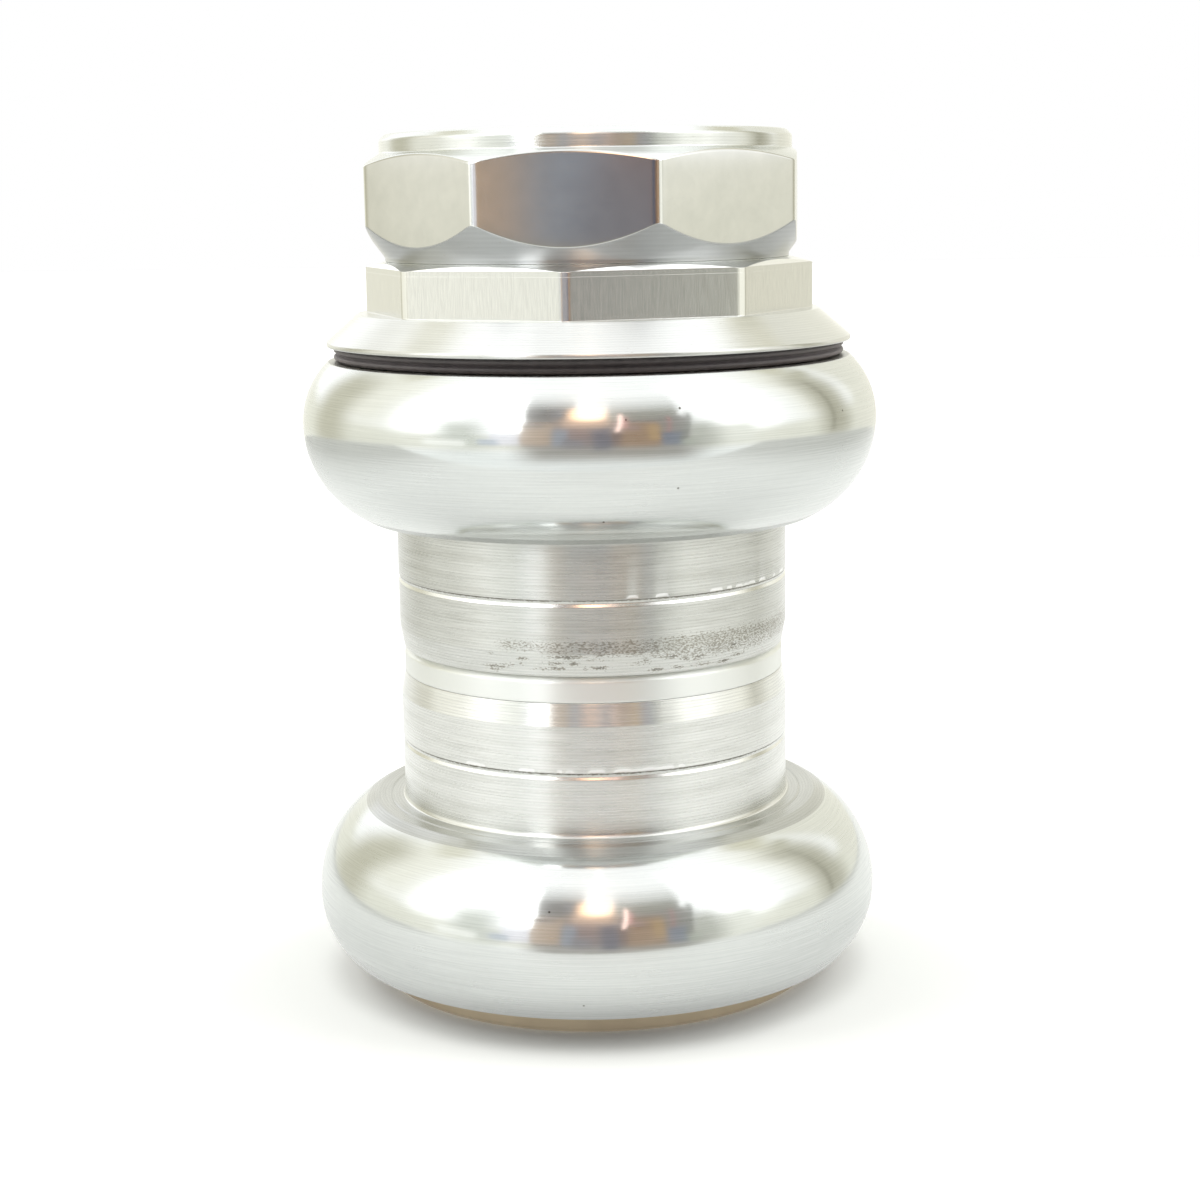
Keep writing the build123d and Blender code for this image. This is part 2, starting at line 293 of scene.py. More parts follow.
def turnedAluminium(name, pull, smoothest, roughest, smeared, darkest, brightest):
    # the same aluminium as it left the lathe tool: fine rings that pull reflections up and down;
    # wear-and-shade above 0 brings dark galled specks from the head tube and the painted shade under a
    # groove's upper lip; below 0 it brings bright torn metal in a dent
    material, tree = newMaterial(name)
    lathe = addNode(tree, "ShaderNodeAttribute", {"attribute_name": "lathe"})
    # rings of the tool's feed, dull smears from handling, and galled specks: for each noise the length of
    # its marks round the skirt and their height, in millimetres, its detail and its roughness
    noises = []
    for length, height, detail, roughness in (
            (cup["skirt"] / 3, 0.09, 4.0, 0.65), (9.0, 0.8, 5.0, 0.7), (0.22, 0.09, 1.0, 0.5)):
        around = cup["skirt"] / length
        drawn = addNode(tree, "ShaderNodeVectorMath", {"operation": "MULTIPLY"}, {
            0: lathe.outputs["Vector"], 1: (around, around, 1 / height)})
        noises.append(addNode(tree, "ShaderNodeTexNoise", None, {
            "Vector": drawn.outputs["Vector"], "Scale": 1.0, "Detail": detail, "Roughness": roughness}))
    rings, smears, specks = noises
    # regular rings: sin(2 pi length / pitch), added to the irregular ones
    pitch = 0.26              # mm between the rings that show
    parts = addNode(tree, "ShaderNodeSeparateXYZ", None, {0: lathe.outputs["Vector"]})
    phase = addNode(tree, "ShaderNodeMath", {"operation": "MULTIPLY"}, {
        0: parts.outputs["Z"], 1: 2 * pi / pitch})
    ring = addNode(tree, "ShaderNodeMath", {"operation": "SINE"}, {0: phase.outputs["Value"]})
    mixed = addNode(tree, "ShaderNodeMath", {"operation": "MULTIPLY_ADD"}, {
        0: ring.outputs["Value"], 1: 0.12, 2: rings.outputs["Fac"]})
    lines = addNode(tree, "ShaderNodeMapRange", None, {
        "Value": mixed.outputs["Value"], "From Min": 0.25, "From Max": 0.75})
    ringed = addNode(tree, "ShaderNodeMix", {"data_type": "RGBA"}, {
        "Factor": lines.outputs["Result"], 6: linear(darkest), 7: linear(brightest)})
    dull = addNode(tree, "ShaderNodeMapRange", None, {
        "Value": smears.outputs["Fac"], "From Min": 0.48, "From Max": 0.72, "To Min": 0.0, "To Max": 0.42})
    bare = addNode(tree, "ShaderNodeMix", {"data_type": "RGBA"}, {
        "Factor": dull.outputs["Result"], 6: ringed.outputs[2], 7: linear(smeared)})
    rough = addNode(tree, "ShaderNodeMapRange", None, {
        "Value": rings.outputs["Fac"], "From Min": 0.3, "From Max": 0.7,
        "To Min": smoothest, "To Max": roughest})
    bump = addNode(tree, "ShaderNodeBump", None, {
        "Height": rings.outputs["Fac"], "Strength": 0.15, "Distance": 0.03 * mm})
    wearAndShade = addNode(tree, "ShaderNodeAttribute", {"attribute_name": "wearAndShade"})
    wornAndShaded = addNode(tree, "ShaderNodeMath", {"operation": "MULTIPLY_ADD"}, {
        0: wearAndShade.outputs["Fac"], 1: 0.5, 2: specks.outputs["Fac"]})
    # galled specks and the painted shade under a groove's upper lip; heavy ones take the darker grey
    galled = addNode(tree, "ShaderNodeMapRange", None, {
        "Value": wornAndShaded.outputs["Value"], "From Min": 0.73, "From Max": 0.85})
    heavy = addNode(tree, "ShaderNodeMapRange", None, {
        "Value": wearAndShade.outputs["Fac"], "From Min": 0.6, "From Max": 0.95})
    grey = addNode(tree, "ShaderNodeMix", {"data_type": "RGBA"}, {
        "Factor": heavy.outputs["Result"], 6: linear("A5A299"), 7: linear("74726C")})
    marked = addNode(tree, "ShaderNodeMix", {"data_type": "RGBA"}, {
        "Factor": galled.outputs["Result"], 6: bare.outputs[2], 7: grey.outputs[2]})
    dent = addNode(tree, "ShaderNodeMapRange", None, {
        "Value": wearAndShade.outputs["Fac"], "From Min": -0.2, "From Max": -0.45})
    tint = addNode(tree, "ShaderNodeMix", {"data_type": "RGBA"}, {
        "Factor": dent.outputs["Result"], 6: marked.outputs[2], 7: linear("FFFFFE")})
    torn = addNode(tree, "ShaderNodeMix", {"data_type": "FLOAT"}, {
        "Factor": dent.outputs["Result"], 2: rough.outputs["Result"], 3: 0.3})
    tangent = addNode(tree, "ShaderNodeTangent", {"direction_type": "RADIAL", "axis": "Z"})
    addSurface(tree, {
        "Base Color": tint.outputs[2], "Metallic": 1.0, "Roughness": torn.outputs[0],
        "Anisotropic": pull, "Anisotropic Rotation": 0.25,
        "Normal": bump.outputs["Normal"], "Tangent": tangent.outputs["Tangent"]})
    return material


def satinNutAluminium():
    # milled flats, tumbled smooth: an even satin that blurs what it reflects, with a faint grain
    material, tree = newMaterial("aluminium_milled_tumbled")
    coords = addNode(tree, "ShaderNodeTexCoord")
    grainSize = 0.25          # mm
    grain = addNode(tree, "ShaderNodeTexNoise", None, {
        "Vector": coords.outputs["Object"], "Scale": 1 / (grainSize * mm), "Detail": 2.0})
    cloudSize = 1.6           # mm across a patch that tumbling left lighter or darker
    cloud = addNode(tree, "ShaderNodeTexNoise", None, {
        "Vector": coords.outputs["Object"], "Scale": 1 / (cloudSize * mm), "Detail": 4.0})
    tint = addNode(tree, "ShaderNodeMix", {"data_type": "RGBA"}, {
        "Factor": cloud.outputs["Fac"], 6: linear("CDCECA"), 7: linear("DDDDD9")})
    rough = addNode(tree, "ShaderNodeMapRange", None, {
        "Value": grain.outputs["Fac"], "From Min": 0.3, "From Max": 0.7, "To Min": 0.13, "To Max": 0.16})
    bump = addNode(tree, "ShaderNodeBump", None, {
        "Height": grain.outputs["Fac"], "Strength": 0.012, "Distance": 0.03 * mm})
    addSurface(tree, {
        "Base Color": tint.outputs[2], "Metallic": 1.0, "Roughness": rough.outputs["Result"],
        "Normal": bump.outputs["Normal"]})
    return material


def grainedMaterial(
        name, scale, detail, shaderInputs, tones=None, contrast=(0, 1), roughness=None, relief=None):
    # plain surface with one noise that varies its tone, its roughness or its relief;
    # scale is the size of the grain in millimetres, or for tool marks a stretch of the lathe's coordinates
    material, tree = newMaterial(name)
    if isinstance(scale, tuple):
        lathe = addNode(tree, "ShaderNodeAttribute", {"attribute_name": "lathe"})
        stretched = addNode(tree, "ShaderNodeVectorMath", {"operation": "MULTIPLY"}, {
            0: lathe.outputs["Vector"], 1: scale})
        source = {"Vector": stretched.outputs["Vector"], "Scale": 1.0}
    else:
        coords = addNode(tree, "ShaderNodeTexCoord")
        source = {"Vector": coords.outputs["Object"], "Scale": 1 / (scale * mm)}
    grain = addNode(tree, "ShaderNodeTexNoise", None, {**source, "Detail": detail})
    if tones:
        shade = addNode(tree, "ShaderNodeMapRange", None, {
            "Value": grain.outputs["Fac"], "From Min": contrast[0], "From Max": contrast[1]})
        tint = addNode(tree, "ShaderNodeMix", {"data_type": "RGBA"}, {
            "Factor": shade.outputs["Result"], 6: linear(tones[0]), 7: linear(tones[1])})
        shaderInputs["Base Color"] = tint.outputs[2]
    if roughness:
        rough = addNode(tree, "ShaderNodeMapRange", None, {
            "Value": grain.outputs["Fac"], "From Min": 0.3, "From Max": 0.7,
            "To Min": roughness[0], "To Max": roughness[1]})
        shaderInputs["Roughness"] = rough.outputs["Result"]
    if relief:
        bump = addNode(tree, "ShaderNodeBump", None, {
            "Height": grain.outputs["Fac"], "Strength": relief[0], "Distance": relief[1] * mm})
        shaderInputs["Normal"] = bump.outputs["Normal"]
    if "Anisotropic" in shaderInputs:
        tangent = addNode(tree, "ShaderNodeTangent", {"direction_type": "RADIAL", "axis": "Z"})
        shaderInputs["Tangent"] = tangent.outputs["Tangent"]
    addSurface(tree, shaderInputs)
    return material


bowlFinish = polishedBowlAluminium()
# name, pull of the rings, least and most roughness, and the tones of smears, dark rings and bright rings
# painted shade: lit and shaded copies of one turned aluminium, the upper skirt's darker for its bowl's shade
shadedSkirtFinish = turnedAluminium("aluminium_turned", 0.86, 0.25, 0.32, "B4B4AC", "CDCECA", "E6E7E3")
litSkirtFinish = turnedAluminium("aluminium_turned_lit", 0.86, 0.25, 0.32, "C4C5BE", "DEDFDC", "F5F6F3")
leadInFinish = turnedAluminium("aluminium_turned_fine", 1.0, 0.22, 0.26, "DADAD4", "E8E9E6", "FAFBF8")
facedFinish = turnedAluminium("aluminium_faced", 1.0, 0.2, 0.26, "ACAEAB", "BABCBA", "C9CBC9")
# painted reflection: the nut's lower chamfer is darker than its collar for the race below that it reflects
shadedChamferFinish = turnedAluminium("aluminium_chamfered_shaded", 1.0, 0.3, 0.34, "A8AAA9", "B0B2B2", "BBBDBD")
collarFinish = turnedAluminium("aluminium_turned_collar", 1.0, 0.22, 0.26, "D2D3CE", "D8DAD6", "E3E5E1")
coneFinish = turnedAluminium("aluminium_turned_cone", 1.0, 0.2, 0.24, "D9DBD8", "DCDEDC", "E5E7E5")
nutFinish = satinNutAluminium()
# bored inside faces: the same metal with coarser, duller tool rings
boreFeed = 0.25           # mm of tool feed for each ring
boreFinish = grainedMaterial("aluminium_bored", (1.5, 1.5, 1 / boreFeed), 2.0, {
    "Base Color": linear("CFCFCA"), "Metallic": 1.0, "Roughness": 0.32}, relief=(0.3, 0.05))
# side-milled flats: fine upright tool marks in a satin face
markWidth = 0.08          # mm between upright tool marks
marksRound = octagon["apothem"] / markWidth
raceFinish = grainedMaterial("aluminium_side_milled", (marksRound, marksRound, 0.7), 2.0, {
    "Metallic": 1.0}, ("DADAD5", "E5E5E0"), (0.3, 0.7), (0.25, 0.27), (0.004, 0.03))
# edges and corners that tumbling and spanners have rubbed: plain and bright, without tool rings;
# on a groove's upward-facing wall this bright finish is a painted highlight
edgeFinish = grainedMaterial("aluminium_burnished_and_highlight", 0.3, 2.0, {
    "Base Color": linear("F4F5F3"), "Metallic": 1.0}, roughness=(0.19, 0.23))
# stamped and tumbled stainless steel: smooth and bright, its edge drawn up and down by the die
washerFinish = grainedMaterial("steel_stamped_bright", 0.5, 2.0, {
    "Base Color": linear("F3F5F2"), "Metallic": 1.0,
    "Anisotropic": 0.8, "Anisotropic Rotation": 0.25}, roughness=(0.36, 0.46))
# hardened and tempered steel, not polished and dull; its brownish grey is partly the steel's own tone
# and partly a painted reflection of the warm shaded floor around its foot
crownFinish = grainedMaterial("steel_hardened_dull", 3.0, 3.0, {
    "Metallic": 1.0, "Roughness": 0.42}, tones=("B3A48C", "C9BAA0"))
# ground and honed bearing steel: bright grey, nearly mirror smooth
bearingFinish = grainedMaterial("steel_ground", 0.4, 2.0, {
    "Base Color": linear("CFD0D2"), "Metallic": 1.0}, roughness=(0.1, 0.2))
# glass-filled nylon, injection moulded: warm off-white and slightly mottled
cageFinish = grainedMaterial("nylon_moulded", 0.8, 2.0, {
    "Roughness": 0.45, "IOR": 1.53}, tones=("D9D2BC", "E6E0CC"))
# nitrile rubber, moulded: near black, matt, with a little bloom and dust
sealFinish = grainedMaterial("nitrile_rubber_moulded", 0.7, 4.0, {
    "IOR": 1.52}, tones=("565152", "7A7373"), roughness=(0.42, 0.6))
print("finishes ready")


# Cups

def bowlArc(edgeRadius, edgeHeight, count):
    # arc that leaves the widest circle straight up or down and ends at this edge:
    # radius rho = (d^2 + h^2) / 2d, with d the narrowing and h the height between
    d = cup["widest"] - edgeRadius
    h = edgeHeight - cup["widestHeight"]
    rho = (d * d + h * h) / (2 * d)
    end = np.arctan2(h, rho - d)
    angle = np.linspace(0, end, count + 1)[:-1]
    radius = cup["widest"] - rho + rho * np.cos(angle)
    return np.stack([radius, cup["widestHeight"] + rho * np.sin(angle)], axis=1)


def cupTable():
    # from the skirt's end along the outside to the rim and back inside; finishes are numbered 0 bored,
    # 1 skirt, 2 bowl, 3 lead-in, 4 faced, and 5 and 6 the two walls of the groove
    lower = bowlArc(cup["shoulderEdge"], 0, cup["lowerArcRows"])[::-1]
    upper = bowlArc(cup["rimEdge"], cup["rimEdgeHeight"], cup["upperArcRows"])[1:]
    skirt = cup["skirt"]
    end = -cup["skirtLength"]
    leadIn = -cup["leadIn"]
    low = -cup["grooveLow"]
    high = -cup["grooveHigh"]
    line = cup["shoulderLine"]
    s = np.linspace(0, 1, cup["skirtRows"] + 2)[1:-1]
    taper = np.stack([cup["skirtEnd"] + s * (skirt - cup["skirtEnd"]), end + s * (leadIn - end)], axis=1)
    plain = leadIn + s * (low - cup["lipFar"] - leadIn)
    skirtSide = [
        (cup["bore"], end, 0.15, 0),
        (cup["skirtEnd"], end, 0.12, 3),
        *[(r, z, 0, 3) for r, z in taper],
        (skirt, leadIn, 0.12, 1),
        *[(skirt, z, 0, 1) for z in plain],
        (skirt, low - cup["lipFar"], 0, 1),
        (skirt, low - cup["lipNear"], 0, 1),
        (skirt, low, 0.03, 5),
        (cup["grooveFloor"], low + cup["grooveWall"], 0.03, 1),
        (cup["grooveFloor"], high - cup["grooveWall"], 0.03, 6),
        (skirt, high, 0.03, 1),
        (skirt, high + cup["lipNear"], 0, 1),
        (skirt, high + cup["lipFar"], 0, 1),
        (skirt, 0, 0.4, 4),
        (line - cup["lineHalf"], 0, 0.03, 4),
        (line, cup["lineDepth"], 0.03, 4),
        (line + cup["lineHalf"], 0, 0.03, 4),
        (cup["shoulderEdge"], 0, 0.15, 4),
    ]
    arc = np.vstack([lower, upper])
    bowl = [(r, z, 0, 4 if row < cup["facedRows"] else 2) for row, (r, z) in enumerate(arc)]
    inside = [
        (cup["rimEdge"], cup["rimEdgeHeight"], 0.12, 2),
        (cup["rimFlat"], cup["rimHeight"], 0.1, 0),
        (cup["mouth"], cup["rimHeight"], 0.1, 0),
        (cup["seat"], cup["mouthDepth"], 0.1, 0),
        (cup["seat"], cup["seatTop"], 0.1, 0),
        (cup["seatFoot"], cup["floor"], 0.1, 0),
        (cup["bore"], cup["floor"], 0.2, 0),
    ]
    return skirtSide + bowl + inside


def softStep(value, low, high):
    # 0 below low, 1 above high, and 3t^2 - 2t^3 between
    t = np.clip((value - low) / (high - low), 0, 1)
    return t * t * (3 - 2 * t)


def chipProfile(azimuth, chips):
    # dents along a lip: each is 1 - (distance / half length)^4 on its own stretch, at seeded places
    draw = np.random.default_rng(chips["seed"])
    places = draw.uniform(chips["from"], chips["to"], chips["count"])
    halves = np.degrees(draw.uniform(*chips["halfLength"], chips["count"]) / cup["skirt"])
    depths = draw.uniform(*lip["depthShare"], chips["count"])
    reach = np.abs(azimuth[:, None] - places) / halves
    return (np.clip(1 - reach ** 4, 0, 1) * depths).max(axis=1)


def gallingDensity(azimuth, z):
    # specks in a band at the start of the lead-in, from sparse in front to dense on the right
    rise = softStep(azimuth, galling["from"], galling["full"])
    end = 1 - softStep(azimuth, galling["to"] - galling["fadeOut"], galling["to"])
    start = softStep(azimuth, galling["from"] - galling["fadeIn"], galling["from"])
    middle = galling["height"] + (1 - rise) * galling["lift"]
    halfBand = galling["halfBand"] * (galling["narrowest"] + (1 - galling["narrowest"]) * rise)
    band = np.clip(galling["plateau"] - ((z - middle) / halfBand) ** 2, 0, 1)
    density = band * end * start * (galling["sparse"] + (galling["dense"] - galling["sparse"]) * rise)
    # and seeded blotches drawn out round the skirt, each exp(-(across)^2 - (up)^2)
    draw = np.random.default_rng(galling["seed"])
    for _ in range(galling["blotches"]):
        place = draw.uniform(*galling["blotchPlace"])
        height = draw.uniform(*galling["blotchHeight"])
        half = np.degrees(draw.uniform(*galling["blotchLength"]) / 2 / cup["skirt"])
        strength = draw.uniform(*galling["blotchStrength"])
        across = (azimuth - place) / half
        up = (z - height) / galling["blotchHalfHeight"]
        density = np.maximum(density, strength * np.exp(-across ** 2 - up ** 2))
    return density


def makeCup(name, node, shoulder, flip, chips, skirtFinish, endFinish, galled):
    theta = evenAngles(cup["columns"])
    section, zone = tableSection(theta, cupTable())
    turn = -1 if flip else 1
    azimuth = (np.degrees(turn * theta) + 90 - view["azimuth"] + 180) % 360 - 180
    # the lip gives way towards its land and inwards, less with the distance from the groove
    z = section[:, :, 1]
    depth = cup["skirt"] - section[:, :, 0]
    beyond = (z + chips["lip"]) * chips["side"]
    onLand = (beyond > -lip["overlap"]) & (depth < lip["landDepth"]) & (depth > -lip["landProud"])
    lipWeight = np.clip(lip["steepness"] * (1 - beyond / lip["height"]), 0, 1) * onLand
    chip = chipProfile(azimuth, chips)[:, None] * lipWeight
    moved = np.stack([-lip["depth"] * chip, chips["side"] * lip["push"] * chip], axis=2)
    # painted shade: dark grey marks under the groove's upper lip stand for its shadow; the groove's lower
    # wall, which faces up, takes the bright burnished finish as a painted highlight
    above = turn * (z + (cup["grooveLow"] + cup["grooveHigh"]) / 2)
    inGroove = (depth > grooveShade["shallowest"]) & (depth < grooveShade["deepest"])
    wearAndShade = 1.0 * (inGroove & (above > 0) & (above < grooveShade["height"]))
    if galled:
        density = gallingDensity(azimuth[:, None], z) * ((zone == 1) | (zone == 3))
        wearAndShade = np.where(density > leastWear, density, wearAndShade)
    wearAndShade = np.where(chip > leastWear, -chip, wearAndShade)
    # painted highlight: the groove's upward-facing wall takes the bright burnished finish
    walls = [skirtFinish, edgeFinish] if flip else [edgeFinish, skirtFinish]
    finishes = [boreFinish, skirtFinish, bowlFinish, endFinish, facedFinish] + walls
    piece = turnedPiece(name, section + moved, theta, finishes, zone, shoulder, flip, wearAndShade)
    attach(piece, "cups")
    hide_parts(node)


# azimuths are degrees from the camera, positive to its right
# side says which way from the groove the dented land lies
lip = {
    "height": 0.33, "depth": 0.05, "push": 0.1, "depthShare": (0.5, 1.0),
    "overlap": 0.02, "landDepth": 0.08, "landProud": 0.01, "steepness": 1.6,
}
upperChips = {
    "lip": cup["grooveHigh"], "side": 1, "from": 4, "to": 92,
    "count": 22, "halfLength": (0.25, 0.8), "seed": 4,
}
lowerChips = {
    "lip": cup["grooveLow"], "side": -1, "from": -38, "to": 26,
    "count": 20, "halfLength": (0.2, 0.8), "seed": 9,
}
# painted shade under the groove's upper lip: its depths into the groove and its height, in mm
grooveShade = {"shallowest": 0.002, "deepest": 0.06, "height": 0.31}
galling = {
    "from": -24, "full": 48, "to": 100, "fadeIn": 8, "fadeOut": 10, "height": -9.3, "lift": 0.5,
    "halfBand": 1.3, "narrowest": 0.45, "plateau": 1.25, "sparse": 0.5, "dense": 0.57,
    "seed": 21, "blotches": 58, "blotchPlace": (-30, 46), "blotchHeight": (-11.0, -9.4),
    "blotchLength": (0.6, 2.4), "blotchStrength": (0.45, 1.0), "blotchHalfHeight": 0.16,
}
leastWear = 0.02
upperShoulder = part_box("upper_cup")[0][2] / mm + cup["skirtLength"]
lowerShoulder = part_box("lower_cup")[1][2] / mm - cup["skirtLength"]
makeCup("upper_cup_shell", "upper_cup", upperShoulder, False, upperChips,
        shadedSkirtFinish, shadedSkirtFinish, True)
makeCup("lower_cup_shell", "lower_cup", lowerShoulder, True, lowerChips,
        litSkirtFinish, leadInFinish, False)


# Octagons of the lock nut and the adjusting race

thread = {
    "root": 14.3, "depth": 0.52, "pitch": 25.4 / 26, "rowsPerTurn": 8,
    "bevel": 0.5, "runIn": 0.2, "runOut": 0.3,
}

nut = {
    "foot": 17.35, "footEdge": 0.3, "footRise": 3.05, "crown": 7.95, "collar": 17.6, "collarBase": 9.0,
    "height": 10.6, "collarBevel": 0.5, "quillHole": 12.9, "lipBase": 8.6,
    "edgeBend": 0.18, "cornerBlend": 0.2, "fullRows": (-0.88, -0.74, -0.5, 0, 0.5, 0.74, 0.88),
}


def makeLockNut():
    # finishes are numbered 0 flats, 1 polished, 2 collar, 3 chamfer below, and 4 the corners
    theta, offset = octagonAngles(octagon["perFlat"], -pi / 2)
    side, atCorner, middle = octagonRadius(offset, octagon["crown"], nut["cornerBlend"])
    # the flats end where they meet the turned cones, lower and higher in the middle of each flat
    lowSlope = (nut["footRise"] - nut["footEdge"]) / (octagon["corner"] - nut["foot"])
    highSlope = (nut["collarBase"] - nut["crown"]) / (octagon["corner"] - nut["collar"])
    flatLow = nut["footEdge"] + (side - nut["foot"]) * lowSlope
    flatHigh = nut["crown"] + (octagon["corner"] - side) * highSlope
    # tumbling left each flat slightly full: crown (1 - t^4), t from -1 at its foot to 1 at its top
    flatMiddle = (flatLow + flatHigh) / 2
    flatHalf = (flatHigh - flatLow) / 2
    fullRows = [
        (side + octagon["crown"] * (1 - t ** 4) * middle, flatMiddle + t * flatHalf, 0, 0)
        for t in nut["fullRows"]]
    table = [
        (thread["root"] + thread["bevel"], 0, 0.1, 1),
        (nut["foot"], 0, 0.08, 3),
        (nut["foot"], nut["footEdge"], 0.08, 3),
        (side, flatLow, nut["edgeBend"], 0),
        *fullRows,
        (side, flatHigh, nut["edgeBend"], 1),
        (nut["collar"], nut["collarBase"], 0.1, 2),
        (nut["collar"], nut["height"] - nut["collarBevel"], 0.15, 1),
        (nut["collar"] - nut["collarBevel"], nut["height"], 0.15, 1),
        (nut["quillHole"], nut["height"], 0.2, 1),
        (nut["quillHole"], nut["lipBase"], 0.1, 1),
        (thread["root"], nut["lipBase"], 0.05, 1),
        (thread["root"], thread["bevel"], 0.05, 1),
    ]
    section, zone = tableSection(theta, table)
    ridge = threadRows(theta, nut["lipBase"] - thread["runOut"], thread["bevel"] + thread["runIn"])
    cut = len(zone) - edgeSteps - 2
    section = np.concatenate([section[:, :cut], ridge, section[:, cut:]], axis=1)
    zone = np.concatenate([zone[:cut], np.ones(ridge.shape[1], int), zone[cut:]])
    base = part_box("lock_nut")[0][2] / mm
    turned = np.where(atCorner[:, None] & (zone[None, :] == 0), 4, zone[None, :])
    finishes = [nutFinish, bowlFinish, collarFinish, shadedChamferFinish, edgeFinish]
    piece = turnedPiece("lock_nut_body", section, theta, finishes, turned, base, level=True)
    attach(piece, "upper_race")
    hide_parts("lock_nut")


race = {
    "noseTip": 15.43, "noseDepth": 0.8, "noseTop": 16.63, "faceGap": 0.4,
    "boss": 20.55, "bossTop": 2.1, "sealGroove": 19.95, "underside": 3.5,
    "flange": 22.6, "flangeEdge": 3.85, "ledge": 19.9, "ledgeHeight": 6.2,
    "top": 17.25, "chamfer": 19.2, "cornerHeight": 10.02, "height": 10.6,
    "bevelFoot": 10.08, "bevelLean": 0.7, "lineDepth": 0.45, "lineStep": 0.012,
    "cornerBlend": 0.05, "hair": 0.001,
}


def makeAdjustingRace():
    # finishes are numbered 0 flats, 1 cone and top, 2 edge of the flange, and 3 bevels and corners
    theta, offset = octagonAngles(octagon["perFlat"], -pi / 2 + pi / 8)
    side, atCorner = octagonRadius(offset, 0, race["cornerBlend"])[:2]
    # the top falls at k from the land's edge to the chamfer, whose rim is level with the foot of each flat's
    # bevel, and steeper from there to the corner; the bevel leans inwards, so on both top and bevel
    # z = height - k (r - land) and r = (apothem - lean (z - foot)) / cos(offset)
    height = race["height"]
    foot = race["bevelFoot"]
    step = race["lineStep"]
    k = (height - foot) / (race["chamfer"] - race["top"])
    steep = (foot - race["cornerHeight"]) / (octagon["corner"] - race["chamfer"])
    onFlat = side < race["chamfer"]
    bevelLow = np.where(onFlat, foot, foot - steep * (side - race["chamfer"]))
    slant = k / np.cos(offset)
    meet = height + k * race["top"] - (octagon["apothem"] + foot * race["bevelLean"]) * slant
    bevelHigh = np.where(onFlat, meet / (1 - race["bevelLean"] * slant), foot + race["hair"])
    bevelSide = np.minimum(race["top"] + (height - bevelHigh) / k, side - race["hair"])
    table = [
        (thread["root"], -race["noseDepth"], 0.1, 1),
        (race["noseTip"], -race["noseDepth"], 0.1, 1),
        (race["noseTop"], race["faceGap"], 0.1, 1),
        (race["boss"], race["faceGap"], 0.1, 1),
        (race["boss"], race["bossTop"], 0.05, 1),
        (race["sealGroove"], race["bossTop"], 0.05, 1),
        (race["sealGroove"], race["underside"], 0.05, 1),
        (race["flange"], race["underside"], 0.12, 2),
        (race["flange"], race["flangeEdge"], 0.12, 1),
        (race["ledge"], race["ledgeHeight"], 0.06, 1),
        (side, race["ledgeHeight"], 0.05, 0),
        (side, foot - race["lineDepth"], 0.01, 0),
        (side - step, foot - race["lineDepth"] + step, 0.01, 0),
        (side - step, bevelLow, 0.03, 3),
        (bevelSide - step, bevelHigh, 0.02, 3),
        (race["top"], height, 0.1, 1),
        (thread["root"] + thread["bevel"], height, 0.1, 1),
        (thread["root"], height - thread["bevel"], 0.05, 1),
    ]
    section, zone = tableSection(theta, table)
    threadTop = height - thread["bevel"] - thread["runIn"]
    ridge = threadRows(theta, threadTop, thread["runOut"] - race["noseDepth"])
    section = np.concatenate([section, ridge], axis=1)
    zone = np.concatenate([zone, np.ones(ridge.shape[1], int)])
    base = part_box("adjusting_race")[0][2] / mm + race["noseDepth"]
    turned = np.where(atCorner[:, None] & (zone[None, :] == 0), 3, zone[None, :])
    finishes = [raceFinish, coneFinish, shadedSkirtFinish, edgeFinish]
    piece = turnedPiece("adjusting_race_body", section, theta, finishes, turned, base, level=True)
    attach(piece, "upper_race")
    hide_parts("adjusting_race")


makeLockNut()
makeAdjustingRace()


# Plain rings: race seal, lock washer and crown race

def makeRing(name, node, body, finish, table, columns, base, flip=False):
    theta = evenAngles(columns)
    section, zone = tableSection(theta, [(*row, 0) for row in table])
    piece = turnedPiece(name, section, theta, [finish], zone, base, flip)
    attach(piece, body)
    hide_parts(node)


seal = {
    "columns": 384, "groove": 19.95, "boss": 20.55, "valley": 21.7, "lip": 22.0, "step": 0.2, "height": 1.4,
    "ridgePitch": 0.6,
}
sealTable = [
    (seal["groove"], 0, 0.05),
    (seal["boss"], 0, 0.05),
    (seal["boss"], seal["step"], 0.03),
    (seal["valley"], seal["step"], 0.05),
    (seal["lip"], seal["step"] + seal["ridgePitch"] / 3, 0.08),
    (seal["lip"], seal["step"] + seal["ridgePitch"] * 2 / 3, 0.08),
    (seal["valley"], seal["step"] + seal["ridgePitch"], 0.05),
    (seal["lip"], seal["step"] + seal["ridgePitch"] * 4 / 3, 0.08),
    (seal["lip"], seal["step"] + seal["ridgePitch"] * 5 / 3, 0.08),
    (seal["valley"], seal["height"], 0.05),
    (seal["groove"], seal["height"], 0.05),
]
makeRing("race_seal_lip", "race_seal", "upper_race", sealFinish, sealTable, seal["columns"],
         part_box("race_seal")[0][2] / mm)

washer = {
    "columns": 720, "bore": 14.6, "outer": 16.7, "thickness": 2.25, "bevel": 0.5,
    "keyTip": 13.8, "keyWidth": 4.0,
}
washerAngle = evenAngles(washer["columns"])
fromKey = np.abs((washerAngle - pi / 2 + pi) % (2 * pi) - pi)
inKey = fromKey < np.arctan2(washer["keyWidth"] / 2, washer["keyTip"])
washerBore = np.where(inKey, washer["keyTip"] / np.cos(fromKey), washer["bore"])
washerTable = [
    (washerBore, 0, 0.1),
    (washer["outer"], 0, 0.12),
    (washer["outer"], washer["thickness"] - washer["bevel"], 0.1),
    (washer["outer"] - washer["bevel"], washer["thickness"], 0.1),
    (washerBore, washer["thickness"], 0.1),
]
makeRing("lock_washer_ring", "lock_washer", "cups", washerFinish, washerTable,
         washer["columns"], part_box("lock_washer")[0][2] / mm)

